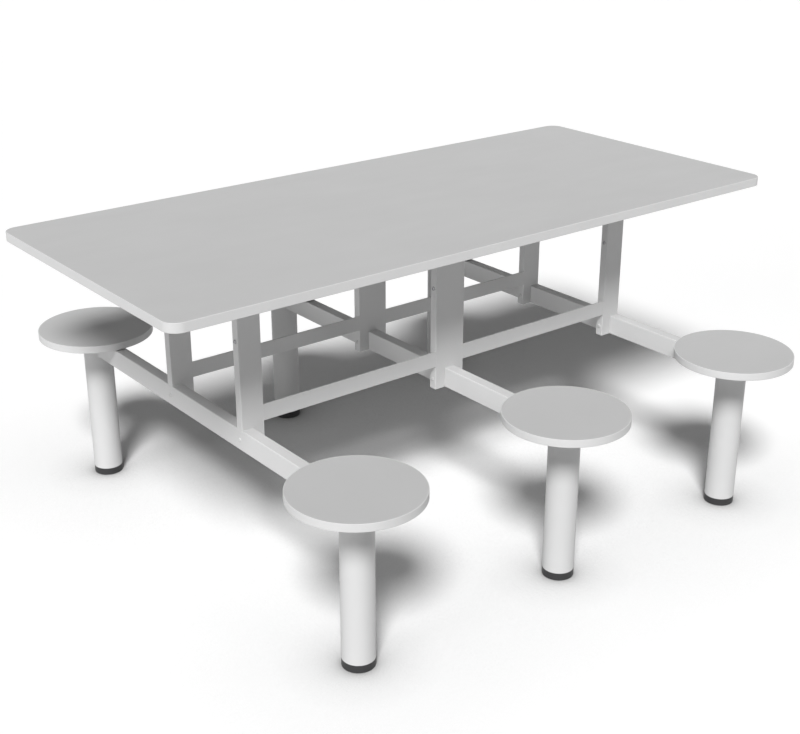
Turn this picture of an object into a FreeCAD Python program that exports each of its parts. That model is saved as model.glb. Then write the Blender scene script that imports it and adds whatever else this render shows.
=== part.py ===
import FreeCAD, Part
import os
import Sketcher
from math import hypot, radians
from FreeCAD import Placement, Rotation, Vector

# A canteen table with six round stools fixed to its frame. Three crosswise frames stand 600 mm
# apart. Each has a crossbeam between two round pedestals, and two flat uprights that straddle the
# beam and carry the top. Each seat turns on a spindle in the head of its pedestal.
# X runs along the table, the front is -Y, Z is up, and the origin is on the floor at the centre.

# Driving sizes in millimetres.
driving_sizes = {
    # table top
    "table_length": 1800,
    "table_width": 800,
    "table_height": 798,
    "top_thickness": 22,
    "corner_radius": 35,          # of the top seen from above
    "edging": 2,                  # thickness of the band round the top and the seats
    "edging_round": 1.2,          # radius along the band's edges
    # crosswise frames
    "frame_pitch": 600,           # from one crossbeam to the next
    "beam_width": 30,
    "beam_height": 52,
    "beam_bottom": 353,           # above the floor
    "row_spacing": 320,           # between the two rows of uprights
    "upright_depth": 23,
    "end_upright_width": 60,
    "middle_upright_width": 90,
    "tube_wall": 1.5,
    "tube_inner_corner": 0.5,     # inner radius of every flat tube's corners
    "joint_gap": 0.2,             # left at a notch or a cope
    "rail_height": 40,
    "rail_thickness": 4,
    "rail_round": 0.5,            # along a rail's edges
    "rail_lift": 10,              # from the top of the beams to the rails
    # bearers under the top, with stems that plug into the uprights
    "bearer_length": 600,
    "stem_tail": 27,              # of a stem below its bolt
    "stem_fit": 0.5,
    # sleeve nuts and bolts through the uprights
    "bolt_diameter": 6,
    "bolt_length": 20,
    "bolt_head_diameter": 10,
    "bolt_head_height": 2.8,
    "bolt_head_round": 1.8,
    "socket_width": 4,            # across the flats
    "socket_depth": 1.6,
    "sleeve_diameter": 8,
    "sleeve_inset": 8,            # the sleeve stops this far short of the bolt's head
    "hole_clearance": 0.2,        # on the radius
    "upper_bolt_drop": 133,       # below the top of the uprights
    # screws through the bearers into the top
    "screw_diameter": 5,
    "screw_cover": 7,             # of the top above the screws' tips
    "screw_head_diameter": 10,
    "screw_head_height": 2.5,
    "screw_end_inset": 40,        # from the end of a bearer
    "screw_inner_reach": 60,      # from the middle of a bearer
    "pilot_clearance": 0.05,      # on the radius
    # pedestals and feet
    "pedestal_reach": 586,        # from the middle of the table to a seat's axis
    "pedestal_diameter": 76,
    "pedestal_wall": 3,
    "foot_height": 19,
    "foot_round": 1.5,
    "foot_plug_depth": 25,
    "foot_plug_wall": 3,
    "plug_fit": 0.2,              # radial gap inside the pedestal
    # bearing insert in the pedestal's head
    "flange_thickness": 1,
    "flange_inset": 1,            # the flange stops short of the pedestal's rim
    "web_thickness": 6,
    "skirt_depth": 30,
    "skirt_wall": 3,
    "hub_depth": 60,
    "hub_wall": 7,
    "rib_thickness": 3,
    "rib_count": 6,
    # seat, with its spindle
    "seat_diameter": 300,
    "seat_thickness": 19,
    "plate_diameter": 140,
    "plate_thickness": 3,
    "plate_hole_diameter": 5,
    "plate_hole_inset": 15,       # from the plate's rim
    "plate_hole_count": 4,
    "countersink_diameter": 9.5,
    "countersink_angle": 90,
    "seat_pilot_diameter": 4,
    "seat_pilot_cover": 5,        # of the board above the pilot holes
    "spindle_diameter": 25,
    "spindle_tip": 6,             # below the retaining ring
    "spindle_chamfer": 1.5,
    "running_clearance": 0.05,    # of the spindle in the insert, on the radius
    "thrust_gap": 0.2,            # between the flange and the turning plate
    "ring_gap": 0.3,              # between the hub and the retaining ring
    "ring_thickness": 1.5,
    "ring_height": 3,             # how far the ring stands out of the spindle
}

# Sizes and levels that follow from the driving sizes.
derived_sizes = {
    "underside": "sizes.table_height - sizes.top_thickness",
    "upright_top": "levels.underside - sizes.upright_depth",
    "beam_top": "sizes.beam_bottom + sizes.beam_height",
    "beam_middle": "sizes.beam_bottom + sizes.beam_height / 2",
    "upright_length": "levels.upright_top - sizes.beam_bottom",
    "upper_bolt_level": "levels.upright_top - sizes.upper_bolt_drop",
    "upper_bolt_rise": "levels.upper_bolt_level - sizes.beam_bottom",
    "end_upright_reach": "sizes.frame_pitch + (sizes.beam_width - sizes.end_upright_width) / 2",
    "rail_start": "sizes.middle_upright_width / 2",
    "rail_end": "levels.end_upright_reach - sizes.end_upright_width / 2",
    "rail_length": "levels.rail_end - levels.rail_start",
    "rail_reach": "(levels.rail_start + levels.rail_end) / 2",
    "rail_middle": "levels.beam_top + sizes.rail_lift + sizes.rail_height / 2",
    "rail_setback": "(sizes.upright_depth - sizes.rail_thickness) / 2",
    "row_reach": "sizes.row_spacing / 2",
    "tube_corner": "sizes.tube_inner_corner + sizes.tube_wall",
    "stem_shrink": "2 * (sizes.tube_wall + sizes.stem_fit)",
    "stem_depth": "sizes.upper_bolt_drop + sizes.stem_tail",
    "sleeve_hole": "sizes.sleeve_diameter + 2 * sizes.hole_clearance",
    "screw_hole": "sizes.screw_diameter + 2 * sizes.hole_clearance",
    "screw_pilot": "sizes.screw_diameter + 2 * sizes.pilot_clearance",
    "screw_length": "sizes.upright_depth + sizes.top_thickness - sizes.screw_cover",
    "screw_pilot_depth": "levels.screw_length - sizes.upright_depth + sizes.hole_clearance",
    "screw_outer_reach": "sizes.bearer_length / 2 - sizes.screw_end_inset",
    "pedestal_bore": "sizes.pedestal_diameter - 2 * sizes.pedestal_wall",
    "plug_radius": "levels.pedestal_bore / 2 - sizes.plug_fit",
    "bearing_radius": "sizes.spindle_diameter / 2 + sizes.running_clearance",
    "hub_radius": "levels.bearing_radius + sizes.hub_wall",
    "plate_bottom": "levels.beam_top + sizes.flange_thickness + sizes.thrust_gap",
    "seat_bottom": "levels.plate_bottom + sizes.plate_thickness",
    "seat_pilot_depth": "sizes.seat_thickness - sizes.seat_pilot_cover",
    "plate_hole_reach": "sizes.plate_diameter / 2 - sizes.plate_hole_inset",
    "ring_drop": "sizes.thrust_gap + sizes.flange_thickness + sizes.hub_depth + sizes.ring_gap",
}

doc = FreeCAD.newDocument("canteen_table")


def fill_sheet(name, cells, prefix=""):
    """A spreadsheet with one alias per row, holding numbers or formulas."""
    sheet = doc.addObject("Spreadsheet::Sheet", name)
    for row, (alias, content) in enumerate(cells.items(), start=1):
        sheet.set(f"A{row}", alias)
        sheet.set(f"B{row}", f"{prefix}{content}")
        sheet.setAlias(f"B{row}", alias)
    return sheet


sizes = fill_sheet("sizes", driving_sizes)
levels = fill_sheet("levels", derived_sizes, prefix="=")
doc.recompute()

sub_parts = []


def value(expression):
    """The number that an expression on the sheets gives."""
    return float(sizes.evalExpression(expression))


# ---- sketches -------------------------------------------------------------------------------

def new_sketch(body, role, offset=None, shift=None):
    """A sketch on one of the body's origin planes, offset along its normal or shifted up in it."""
    sketch = body.newObject("Sketcher::SketchObject", f"{body.Name}_sketch")
    plane = next(item for item in body.Origin.OriginFeatures if item.Role == role)
    sketch.AttachmentSupport = [(plane, "")]
    sketch.MapMode = "FlatFace"
    if offset:
        sketch.setExpression("AttachmentOffset.Base.z", offset)
    if shift:
        sketch.setExpression("AttachmentOffset.Base.y", shift)
    return sketch


def drive(sketch, kind, elements, expression):
    """A dimension bound to an expression. A negative one is written from the far end."""
    amount = value(expression)
    if amount < 0:
        elements = elements[2:] + elements[:2]
        expression = f"-({expression})"
    index = sketch.addConstraint(Sketcher.Constraint(kind, *elements, abs(amount)))
    sketch.setExpression(f"Constraints[{index}]", expression)


def place_point(sketch, element, end, across, up):
    """Ties a point to the sketch's origin, and to an axis where a coordinate is None."""
    if across is None:
        sketch.addConstraint(Sketcher.Constraint("PointOnObject", element, end, -2))
    else:
        drive(sketch, "DistanceX", (-1, 1, element, end), across)
    if up is None:
        sketch.addConstraint(Sketcher.Constraint("PointOnObject", element, end, -1))
    else:
        drive(sketch, "DistanceY", (-1, 1, element, end), up)


def draw_circle(sketch, diameter, across=None, up=None):
    centre = Vector(value(across or "0"), value(up or "0"), 0)
    circle = sketch.addGeometry(Part.Circle(centre, Vector(0, 0, 1), value(diameter) / 2))
    place_point(sketch, circle, 3, across, up)
    drive(sketch, "Diameter", (circle,), diameter)


def draw_profile(sketch, points):
    """A closed outline through points given as pairs of expressions, None meaning on an axis."""
    corners = [Vector(value(across or "0"), value(up or "0"), 0) for across, up in points]
    ends = corners[1:] + corners[:1]
    lines = [sketch.addGeometry(Part.LineSegment(start, end)) for start, end in zip(corners, ends)]
    for line, following, (across, up) in zip(lines, lines[1:] + lines[:1], points):
        sketch.addConstraint(Sketcher.Constraint("Coincident", line, 2, following, 1))
        place_point(sketch, line, 1, across, up)


def draw_rounded(sketch, width, height, radius):
    """A rectangle with rounded corners, centred on the sketch's origin."""
    half_width = value(width) / 2
    half_height = value(height) / 2
    corner = value(radius)
    flat_x = half_width - corner
    flat_y = half_height - corner
    sides = []
    arcs = []
    for turn, (along, out) in enumerate([(flat_x, half_height), (flat_y, half_width)] * 2):
        rotation = Rotation(Vector(0, 0, 1), 90 * turn)
        start = rotation.multVec(Vector(-along, -out, 0))
        end = rotation.multVec(Vector(along, -out, 0))
        sides.append(sketch.addGeometry(Part.LineSegment(start, end)))
        centre = rotation.multVec(Vector(along, corner - out, 0))
        circle = Part.Circle(centre, Vector(0, 0, 1), corner)
        arcs.append(sketch.addGeometry(Part.ArcOfCircle(circle, radians(90 * turn - 90), radians(90 * turn))))
    for turn in range(4):
        following = sides[(turn + 1) % 4]
        sketch.addConstraint(Sketcher.Constraint("Tangent", sides[turn], 2, arcs[turn], 1))
        sketch.addConstraint(Sketcher.Constraint("Tangent", arcs[turn], 2, following, 1))
        if turn:
            sketch.addConstraint(Sketcher.Constraint("Equal", arcs[0], arcs[turn]))
    for side, direction in zip(sides, ("Horizontal", "Vertical") * 2):
        sketch.addConstraint(Sketcher.Constraint(direction, side))
    drive(sketch, "Radius", (arcs[0],), radius)
    drive(sketch, "DistanceX", (sides[3], 1, sides[1], 1), width)
    drive(sketch, "DistanceY", (sides[0], 1, sides[2], 1), height)
    sketch.addConstraint(Sketcher.Constraint("Symmetric", sides[0], 1, sides[2], 1, -1, 1))


def draw_tube(sketch, width, height):
    """The section of a flat tube: one rounded rectangle inside another."""
    draw_rounded(sketch, width, height, "levels.tube_corner")
    draw_rounded(sketch, f"{width} - 2 * sizes.tube_wall", f"{height} - 2 * sizes.tube_wall",
                 "sizes.tube_inner_corner")


# ---- features -------------------------------------------------------------------------------

def new_body(label, keep=True):
    body = doc.addObject("PartDesign::Body", label)
    body.Label = label
    if keep:
        sub_parts.append(body)
    return body


def pad(body, sketch, length, side="One side", back=False):
    feature = body.newObject("PartDesign::Pad", f"{body.Name}_pad")
    feature.Profile = sketch
    feature.setExpression("Length", length)
    feature.SideType = side
    feature.Reversed = back
    return feature


def pocket(body, sketch, depth=None, side="One side", back=False):
    """A cut as deep as given, or right through, that must take something away."""
    before = body.Tip.Shape.Volume if body.Tip.Shape.isValid() else 0
    feature = body.newObject("PartDesign::Pocket", f"{body.Name}_pocket")
    feature.Profile = sketch
    feature.SideType = side
    feature.Reversed = back
    if depth:
        feature.setExpression("Length", depth)
    else:
        feature.Type = "ThroughAll"
    doc.recompute()
    if not feature.Shape.Volume < before:
        raise ValueError(f"{feature.Name} cuts nothing")
    return feature


def drill_countersunk(body, sketch, diameter):
    """A hole right through, with its countersink on the sketch's side."""
    hole = body.newObject("PartDesign::Hole", f"{body.Name}_hole")
    hole.Profile = sketch
    doc.recompute()
    hole.ThreadType = "None"
    hole.DepthType = "ThroughAll"
    hole.Reversed = True
    hole.HoleCutType = "Countersink"
    doc.recompute()
    hole.HoleCutCustomValues = True
    hole.setExpression("Diameter", diameter)
    hole.setExpression("HoleCutDiameter", "sizes.countersink_diameter")
    hole.setExpression("HoleCutCountersinkAngle", "sizes.countersink_angle")
    return hole


def revolve(body, points):
    """A turned piece about Z, from a profile of (radius, height) pairs."""
    sketch = new_sketch(body, "XZ_Plane")
    draw_profile(sketch, points)
    feature = body.newObject("PartDesign::Revolution", f"{body.Name}_turned")
    feature.Profile = sketch
    feature.ReferenceAxis = (sketch, ["V_Axis"])
    feature.Angle = 360
    return feature


def repeat_round(body, feature, count):
    """Repeats a feature evenly about Z."""
    pattern = body.newObject("PartDesign::PolarPattern", f"{body.Name}_pattern")
    pattern.Originals = [feature]
    pattern.Axis = (next(item for item in body.Origin.OriginFeatures if item.Role == "Z_Axis"), [""])
    pattern.Angle = 360
    pattern.setExpression("Occurrences", count)
    body.Tip = pattern
    return pattern


def round_edges(body, radius, chosen):
    """Fillets the edges of the tip that the test picks out."""
    doc.recompute()
    base = body.Tip
    names = [f"Edge{number}" for number, edge in enumerate(base.Shape.Edges, start=1) if chosen(edge)]
    feature = body.newObject("PartDesign::Fillet", f"{body.Name}_fillet")
    feature.Base = (base, names)
    feature.setExpression("Radius", radius)
    return feature


def put(item, across=None, forward=None, up=None, turn=0):
    """Places an object by expressions, turned about Z in degrees."""
    item.Placement = Placement(Vector(0, 0, 0), Rotation(Vector(0, 0, 1), turn))
    for axis, expression in zip("xyz", (across, forward, up)):
        if expression:
            item.setExpression(f"Placement.Base.{axis}", expression)


def signed(sign, expression):
    return expression if sign > 0 else f"-({expression})"


frame_names = {"left": -1, "middle": 0, "right": 1}
row_names = {"front": -1, "back": 1}
stations = [(f"{frame}_{row}", side, way) for frame, side in frame_names.items()
            for row, way in row_names.items()]


# ---- the top --------------------------------------------------------------------------------

def level_edge_at(height_from_base):
    """Tests for an edge that lies level at one of the given heights above the body's base."""
    def test(edge):
        box = edge.BoundBox
        level = box.ZLength < 1e-6
        return level and any(abs(box.ZMin - height) < 1e-6 for height in height_from_base)
    return test


def make_top():
    board = new_body("table_top")
    outline = new_sketch(board, "XY_Plane")
    draw_rounded(outline, "sizes.table_length - 2 * sizes.edging", "sizes.table_width - 2 * sizes.edging",
                 "sizes.corner_radius - sizes.edging")
    pad(board, outline, "sizes.top_thickness")
    pilots = new_sketch(board, "XY_Plane")
    for across in ("-levels.end_upright_reach", None, "levels.end_upright_reach"):
        for reach in ("levels.screw_outer_reach", "sizes.screw_inner_reach"):
            for way in row_names.values():
                draw_circle(pilots, "levels.screw_pilot", across, signed(way, reach))
    doc.recompute()
    pocket(board, pilots, "levels.screw_pilot_depth", back=True)
    put(board, up="levels.underside")

    band = new_body("top_edge_band")
    ring = new_sketch(band, "XY_Plane")
    draw_rounded(ring, "sizes.table_length", "sizes.table_width", "sizes.corner_radius")
    draw_rounded(ring, "sizes.table_length - 2 * sizes.edging", "sizes.table_width - 2 * sizes.edging",
                 "sizes.corner_radius - sizes.edging")
    pad(band, ring, "sizes.top_thickness")
    round_edges(band, "sizes.edging_round", outside_of_top)
    put(band, up="levels.underside")


def outside_of_top(edge):
    """A level edge of the top's band that isn't on its inner wall."""
    half_length = value("sizes.table_length / 2")
    half_width = value("sizes.table_width / 2")
    corner = value("sizes.corner_radius")
    middle = edge.valueAt((edge.FirstParameter + edge.LastParameter) / 2)
    beyond_x = max(abs(middle.x) - (half_length - corner), 0)
    beyond_y = max(abs(middle.y) - (half_width - corner), 0)
    outside = hypot(beyond_x, beyond_y) > corner - value("sizes.edging") / 2
    return edge.BoundBox.ZLength < 1e-6 and outside


# ---- crosswise frames and rails ---------------------------------------------------------------

def make_crossbeam(frame, side):
    """A flat tube from pedestal to pedestal, its ends coped to fit round them."""
    beam = new_body(f"crossbeam_{frame}")
    section = new_sketch(beam, "XZ_Plane")
    draw_tube(section, "sizes.beam_width", "sizes.beam_height")
    pad(beam, section, "2 * sizes.pedestal_reach", side="Symmetric")
    copes = new_sketch(beam, "XY_Plane")
    holes = new_sketch(beam, "YZ_Plane")
    for way in row_names.values():
        draw_circle(copes, "sizes.pedestal_diameter + 2 * sizes.joint_gap",
                    up=signed(way, "sizes.pedestal_reach"))
        draw_circle(holes, "levels.sleeve_hole", across=signed(way, "levels.row_reach"))
    doc.recompute()
    pocket(beam, copes, side="Symmetric")
    pocket(beam, holes, side="Symmetric")
    put(beam, signed(side, "sizes.frame_pitch") if side else None, up="levels.beam_middle")


def make_upright(frame, row, side, way):
    """A flat tube on the beam. A middle one straddles it, an end one is notched on the outside."""
    upright = new_body(f"upright_{frame}_{row}")
    width = "sizes.end_upright_width" if side else "sizes.middle_upright_width"
    section = new_sketch(upright, "XY_Plane")
    draw_tube(section, width, "sizes.upright_depth")
    pad(upright, section, "levels.upright_length")
    notch = new_sketch(upright, "XZ_Plane")
    if side:
        inner = f"{width} / 2 - sizes.beam_width - sizes.joint_gap"
        outer = f"{width} / 2 + sizes.joint_gap"
    else:
        inner = "-sizes.beam_width / 2 - sizes.joint_gap"
        outer = "sizes.beam_width / 2 + sizes.joint_gap"
    below = "-sizes.joint_gap"
    above = "sizes.beam_height"
    draw_profile(notch, [(inner, below), (outer, below), (outer, above), (inner, above)])
    holes = new_sketch(upright, "YZ_Plane")
    draw_circle(holes, "levels.sleeve_hole", up="sizes.beam_height / 2")
    draw_circle(holes, "levels.sleeve_hole", up="levels.upper_bolt_rise")
    doc.recompute()
    pocket(upright, notch, side="Symmetric")
    pocket(upright, holes, side="Symmetric")
    across = signed(side, "levels.end_upright_reach") if side else None
    put(upright, across, signed(way, "levels.row_reach"), "sizes.beam_bottom", 180 if side < 0 else 0)


def make_rail(frame, row, side, way):
    """A flat bar from upright to upright, its face level with their front."""
    rail = new_body(f"rail_{frame}_{row}")
    section = new_sketch(rail, "YZ_Plane")
    draw_rounded(section, "sizes.rail_thickness", "sizes.rail_height", "sizes.rail_round")
    pad(rail, section, "levels.rail_length", side="Symmetric")
    forward = f"{signed(way, 'levels.row_reach')} - levels.rail_setback"
    put(rail, signed(side, "levels.rail_reach"), forward, "levels.rail_middle")


def make_bearer(frame, side):
    """A closed bar under the top, with two stems that plug into the uprights below it."""
    bearer = new_body(f"bearer_{frame}")
    width = "sizes.end_upright_width" if side else "sizes.middle_upright_width"
    bar = new_sketch(bearer, "XZ_Plane", shift="sizes.upright_depth / 2")
    draw_rounded(bar, width, "sizes.upright_depth", "levels.tube_corner")
    pad(bearer, bar, "sizes.bearer_length", side="Symmetric")
    hollow = new_sketch(bearer, "XZ_Plane", shift="sizes.upright_depth / 2")
    draw_rounded(hollow, f"{width} - 2 * sizes.tube_wall", "sizes.upright_depth - 2 * sizes.tube_wall",
                 "sizes.tube_inner_corner")
    doc.recompute()
    pocket(bearer, hollow, "sizes.bearer_length - 2 * sizes.tube_wall", side="Symmetric")
    for way in row_names.values():
        make_stem(bearer, width, way)
    bolts = new_sketch(bearer, "YZ_Plane")
    screws = new_sketch(bearer, "XY_Plane")
    for way in row_names.values():
        draw_circle(bolts, "levels.sleeve_hole", signed(way, "levels.row_reach"),
                    "-sizes.upper_bolt_drop")
        for reach in ("levels.screw_outer_reach", "sizes.screw_inner_reach"):
            draw_circle(screws, "levels.screw_hole", up=signed(way, reach))
    doc.recompute()
    pocket(bearer, bolts, side="Symmetric")
    pocket(bearer, screws, back=True)
    put(bearer, signed(side, "levels.end_upright_reach") if side else None, up="levels.upright_top")


def make_stem(bearer, width, way):
    """A tube that hangs from the bar and slides into the upright."""
    section = new_sketch(bearer, "XY_Plane", shift=signed(way, "levels.row_reach"))
    draw_tube(section, f"{width} - levels.stem_shrink", "sizes.upright_depth - levels.stem_shrink")
    pad(bearer, section, "levels.stem_depth", back=True)


# ---- pedestals, feet and bearings --------------------------------------------------------------

def put_at_station(item, side, way, level):
    """Stands an object on a seat's axis."""
    across = signed(side, "sizes.frame_pitch") if side else None
    put(item, across, signed(way, "sizes.pedestal_reach"), level)


def make_pedestal(station, side, way):
    pedestal = new_body(f"pedestal_{station}")
    section = new_sketch(pedestal, "XY_Plane")
    draw_circle(section, "sizes.pedestal_diameter")
    draw_circle(section, "levels.pedestal_bore")
    pad(pedestal, section, "levels.beam_top - sizes.foot_height")
    put_at_station(pedestal, side, way, "sizes.foot_height")


def make_foot(station, side, way):
    """A moulded foot as wide as the tube, with a hollow plug that pushes into it."""
    foot = new_body(f"foot_{station}")
    rim = "sizes.pedestal_diameter / 2"
    plug_top = "sizes.foot_height + sizes.foot_plug_depth"
    plug_inside = "levels.plug_radius - sizes.foot_plug_wall"
    floor = "sizes.foot_height - sizes.foot_plug_wall"
    revolve(foot, [(None, None), (rim, None), (rim, "sizes.foot_height"),
                   ("levels.plug_radius", "sizes.foot_height"), ("levels.plug_radius", plug_top),
                   (plug_inside, plug_top), (plug_inside, floor), (None, floor)])
    round_edges(foot, "sizes.foot_round", level_edge_at((0,)))
    put_at_station(foot, side, way, None)


def make_bearing_insert(station, side, way):
    """A moulded plug for the pedestal's head: flange, web, skirt and hub, stiffened by ribs."""
    insert = new_body(f"bearing_insert_{station}")
    flange_radius = "sizes.pedestal_diameter / 2 - sizes.flange_inset"
    skirt_inside = "levels.plug_radius - sizes.skirt_wall"
    revolve(insert, [
        ("levels.bearing_radius", "sizes.flange_thickness"), (flange_radius, "sizes.flange_thickness"),
        (flange_radius, None), ("levels.plug_radius", None), ("levels.plug_radius", "-sizes.skirt_depth"),
        (skirt_inside, "-sizes.skirt_depth"), (skirt_inside, "-sizes.web_thickness"),
        ("levels.hub_radius", "-sizes.web_thickness"), ("levels.hub_radius", "-sizes.hub_depth"),
        ("levels.bearing_radius", "-sizes.hub_depth")])
    rib = new_sketch(insert, "XZ_Plane")
    rib_start = "levels.hub_radius - sizes.hub_wall / 2"
    rib_end = "levels.plug_radius - sizes.skirt_wall / 2"
    rib_top = "-sizes.web_thickness / 2"
    draw_profile(rib, [(rib_start, rib_top), (rib_start, "-sizes.hub_depth"),
                       ("levels.hub_radius", "-sizes.hub_depth"), (rib_end, "-sizes.skirt_depth"),
                       (rib_end, rib_top)])
    one_rib = pad(insert, rib, "sizes.rib_thickness", side="Symmetric")
    repeat_round(insert, one_rib, "sizes.rib_count")
    put_at_station(insert, side, way, "levels.beam_top")


# ---- seats ---------------------------------------------------------------------------------------

def make_seat_board(station, side, way):
    board = new_body(f"seat_board_{station}")
    outline = new_sketch(board, "XY_Plane")
    draw_circle(outline, "sizes.seat_diameter - 2 * sizes.edging")
    pad(board, outline, "sizes.seat_thickness")
    pilot = new_sketch(board, "XY_Plane")
    draw_circle(pilot, "sizes.seat_pilot_diameter", "levels.plate_hole_reach")
    doc.recompute()
    one_pilot = pocket(board, pilot, "levels.seat_pilot_depth", back=True)
    repeat_round(board, one_pilot, "sizes.plate_hole_count")
    put_at_station(board, side, way, "levels.seat_bottom")


def make_seat_band(station, side, way):
    band = new_body(f"seat_edge_band_{station}")
    ring = new_sketch(band, "XY_Plane")
    draw_circle(ring, "sizes.seat_diameter")
    draw_circle(ring, "sizes.seat_diameter - 2 * sizes.edging")
    pad(band, ring, "sizes.seat_thickness")
    middle_of_band = value("sizes.seat_diameter / 2 - sizes.edging / 2")
    level = level_edge_at((0, value("sizes.seat_thickness")))
    round_edges(band, "sizes.edging_round",
                lambda edge: level(edge) and edge.Curve.Radius > middle_of_band)
    put_at_station(band, side, way, "levels.seat_bottom")


def make_seat_spindle(station, side, way):
    """The turning plate under a seat and its spindle, with the retaining ring under the hub.

    The plate's screw holes are countersunk from below, so that the heads pass over the crossbeam.
    """
    spindle = new_body(f"seat_spindle_{station}")
    rim = "sizes.plate_diameter / 2"
    shaft = "sizes.spindle_diameter / 2"
    ring = f"{shaft} + sizes.ring_height"
    ring_top = "-levels.ring_drop"
    ring_bottom = "-levels.ring_drop - sizes.ring_thickness"
    tip = f"{ring_bottom} - sizes.spindle_tip"
    revolve(spindle, [
        (None, "sizes.plate_thickness"), (rim, "sizes.plate_thickness"), (rim, None), (shaft, None),
        (shaft, ring_top), (ring, ring_top), (ring, ring_bottom), (shaft, ring_bottom),
        (shaft, f"{tip} + sizes.spindle_chamfer"), (f"{shaft} - sizes.spindle_chamfer", tip), (None, tip)])
    hole = new_sketch(spindle, "XY_Plane")
    draw_circle(hole, "sizes.plate_hole_diameter", "levels.plate_hole_reach")
    doc.recompute()
    one_hole = drill_countersunk(spindle, hole, "sizes.plate_hole_diameter")
    repeat_round(spindle, one_hole, "sizes.plate_hole_count")
    put_at_station(spindle, side, way, "levels.plate_bottom")


# ---- fasteners -------------------------------------------------------------------------------------

def draw_hexagon(sketch, width):
    """A hexagon about the sketch's origin, from its width across the flats."""
    half = f"{width} / 2"
    side = f"{width} / sqrt(3)"
    draw_profile(sketch, [(half, f"{side} / 2"), (None, side), (f"-{half}", f"{side} / 2"),
                          (f"-{half}", f"-{side} / 2"), (None, f"-({side})"), (half, f"-{side} / 2")])


def make_head(body, diameter, height, rounding):
    """A low round head on z = 0, rounded at its rim, with a hexagon socket."""
    rim = new_sketch(body, "XY_Plane")
    draw_circle(rim, diameter)
    pad(body, rim, height)
    round_edges(body, rounding, level_edge_at((value(height),)))
    socket = new_sketch(body, "XY_Plane", offset=height)
    draw_hexagon(socket, "sizes.socket_width")
    doc.recompute()
    pocket(body, socket, "sizes.socket_depth")


def make_bolt():
    """A button-head bolt whose shank runs down from z = 0."""
    bolt = new_body("bolt_pattern_piece", keep=False)
    make_head(bolt, "sizes.bolt_head_diameter", "sizes.bolt_head_height", "sizes.bolt_head_round")
    shank = new_sketch(bolt, "XY_Plane")
    draw_circle(shank, "sizes.bolt_diameter")
    pad(bolt, shank, "sizes.bolt_length", back=True)
    return bolt


def make_sleeve_nut(frame_kind, grip):
    """A sleeve with a button head, which runs through the joint and takes the bolt's shank."""
    nut = new_body(f"{frame_kind}_sleeve_pattern_piece", keep=False)
    make_head(nut, "sizes.bolt_head_diameter", "sizes.bolt_head_height", "sizes.bolt_head_round")
    length = f"{grip} - sizes.sleeve_inset"
    sleeve = new_sketch(nut, "XY_Plane")
    draw_circle(sleeve, "sizes.sleeve_diameter")
    pad(nut, sleeve, length, back=True)
    bore = new_sketch(nut, "XY_Plane", offset=f"-({length})")
    draw_circle(bore, "sizes.bolt_diameter + 2 * sizes.pilot_clearance")
    doc.recompute()
    pocket(nut, bore, "sizes.bolt_length", back=True)
    return nut


def make_screw():
    """A pan-head screw whose shank runs up from z = 0."""
    screw = new_body("screw_pattern_piece", keep=False)
    head = new_sketch(screw, "XY_Plane")
    draw_circle(head, "sizes.screw_head_diameter")
    pad(screw, head, "sizes.screw_head_height", back=True)
    shank = new_sketch(screw, "XY_Plane")
    draw_circle(shank, "sizes.screw_diameter")
    pad(screw, shank, "levels.screw_length")
    return screw


def gather(label, piece, spots):
    """One sub-part made of copies of a piece, each at (x, y, z) with its +Z turned to a direction."""
    links = []
    for across, forward, up, direction in spots:
        link = doc.addObject("App::Link", f"{label}_copy")
        link.LinkedObject = piece
        link.Placement = Placement(Vector(0, 0, 0), Rotation(Vector(0, 0, 1), Vector(*direction)))
        for axis, expression in zip("xyz", (across, forward, up)):
            if expression:
                link.setExpression(f"Placement.Base.{axis}", expression)
        links.append(link)
    group = doc.addObject("Part::Compound", label)
    group.Label = label
    group.Links = links
    sub_parts.append(group)


def make_fasteners():
    end_outer = "levels.end_upright_reach + sizes.end_upright_width / 2"
    end_inner = "levels.end_upright_reach - sizes.end_upright_width / 2"
    middle_face = "sizes.middle_upright_width / 2"
    bolts = []
    end_nuts = []
    middle_nuts = []
    for way in row_names.values():
        forward = signed(way, "levels.row_reach")
        for up in ("levels.beam_middle", "levels.upper_bolt_level"):
            for side in (-1, 1):
                bolts.append((signed(side, end_outer), forward, up, (side, 0, 0)))
                end_nuts.append((signed(side, end_inner), forward, up, (-side, 0, 0)))
            bolts.append((middle_face, forward, up, (1, 0, 0)))
            middle_nuts.append((f"-{middle_face}", forward, up, (-1, 0, 0)))
    gather("frame_bolts", make_bolt(), bolts)
    gather("end_sleeve_nuts", make_sleeve_nut("end", "sizes.end_upright_width"), end_nuts)
    gather("middle_sleeve_nuts", make_sleeve_nut("middle", "sizes.middle_upright_width"), middle_nuts)
    screws = [(signed(side, "levels.end_upright_reach") if side else None, signed(way, reach),
               "levels.upright_top", (0, 0, 1))
              for side in frame_names.values() for way in row_names.values()
              for reach in ("levels.screw_outer_reach", "sizes.screw_inner_reach")]
    gather("top_screws", make_screw(), screws)


# ---- the whole table -------------------------------------------------------------------------------

def make_frames():
    for frame, side in frame_names.items():
        make_crossbeam(frame, side)
        make_bearer(frame, side)
        for row, way in row_names.items():
            make_upright(frame, row, side, way)
            if side:
                make_rail(frame, row, side, way)


def make_stations():
    for station, side, way in stations:
        make_pedestal(station, side, way)
        make_foot(station, side, way)
        make_bearing_insert(station, side, way)
        make_seat_board(station, side, way)
        make_seat_band(station, side, way)
        make_seat_spindle(station, side, way)


def check_document():
    """Stops on any feature that failed and on any sub-part without a sound shape."""
    for item in doc.Objects:
        if "Invalid" in item.State or "Error" in item.State:
            raise ValueError(f"{item.Name} failed: {item.State}")
    for item in sub_parts:
        if item.Shape.isNull() or not item.Shape.isValid():
            raise ValueError(f"{item.Label} has no sound shape")


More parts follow.
